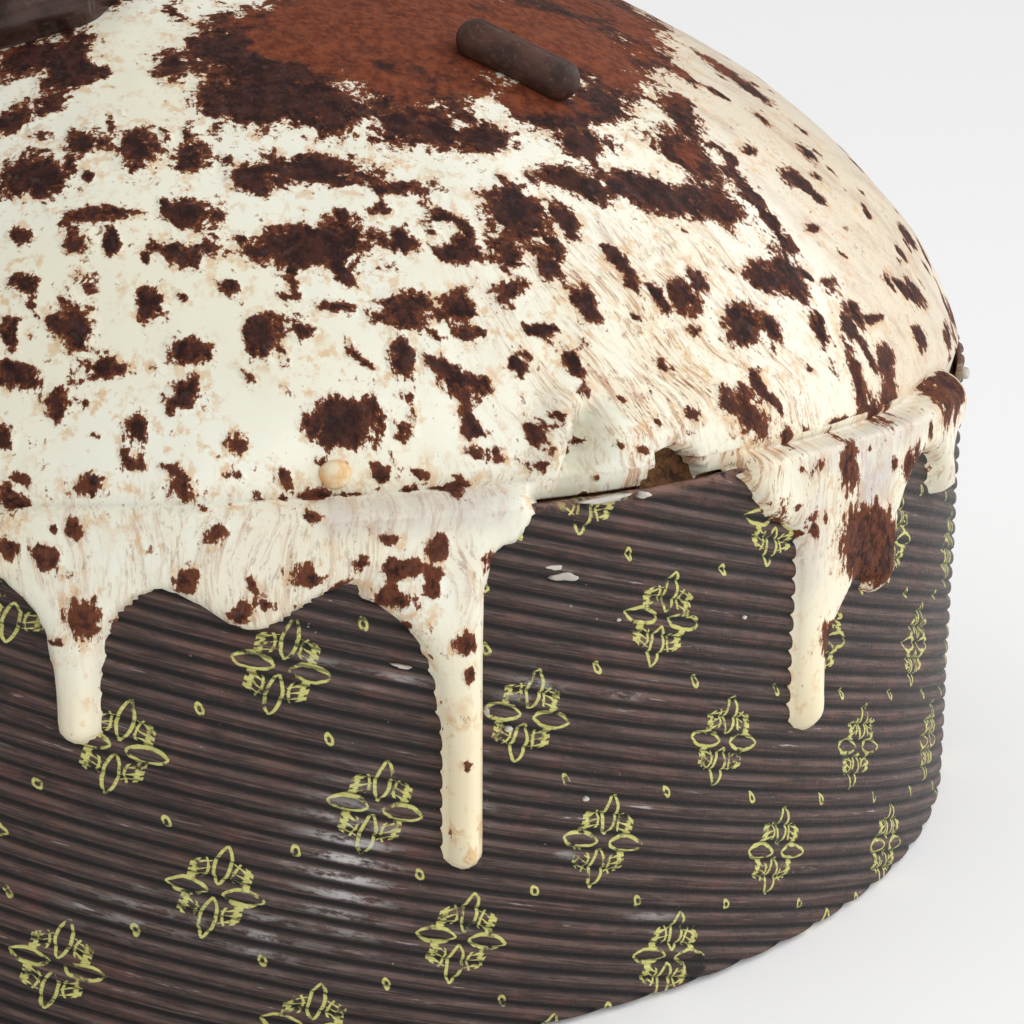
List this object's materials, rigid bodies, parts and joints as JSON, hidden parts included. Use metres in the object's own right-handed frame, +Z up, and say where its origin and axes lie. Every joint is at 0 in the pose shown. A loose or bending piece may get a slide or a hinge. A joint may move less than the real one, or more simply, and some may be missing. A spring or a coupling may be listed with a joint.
{
  "type": "iced panettone",
  "caption": "Low round panettone in a ribbed paper case, with a domed top, white icing that drips over the rim, cocoa and chocolate pieces.",
  "frame": {"origin": "centre of the flat underside of the paper case", "axes": "+Z up, the pictured side faces -Y, +X to the right seen from there"},
  "size_m": [0.2156, 0.2158, 0.1263],
  "materials": {
    "paper_case": "matte ribbed dark brown paper with a printed gold pattern",
    "cake": "baked brown crumb and crust",
    "icing": "smooth satin ivory icing with cocoa",
    "chocolate": "satin dark chocolate"
  },
  "bodies": {
    "root": {"paper_case": "paper_case", "cake": "cake", "icing": "icing", "chocolate_log_1": "chocolate", "chocolate_log_2": "chocolate", "chocolate_log_3": "chocolate", "chocolate_curl_1": "chocolate", "chocolate_curl_2": "chocolate"}
  },
  "joints": []
}
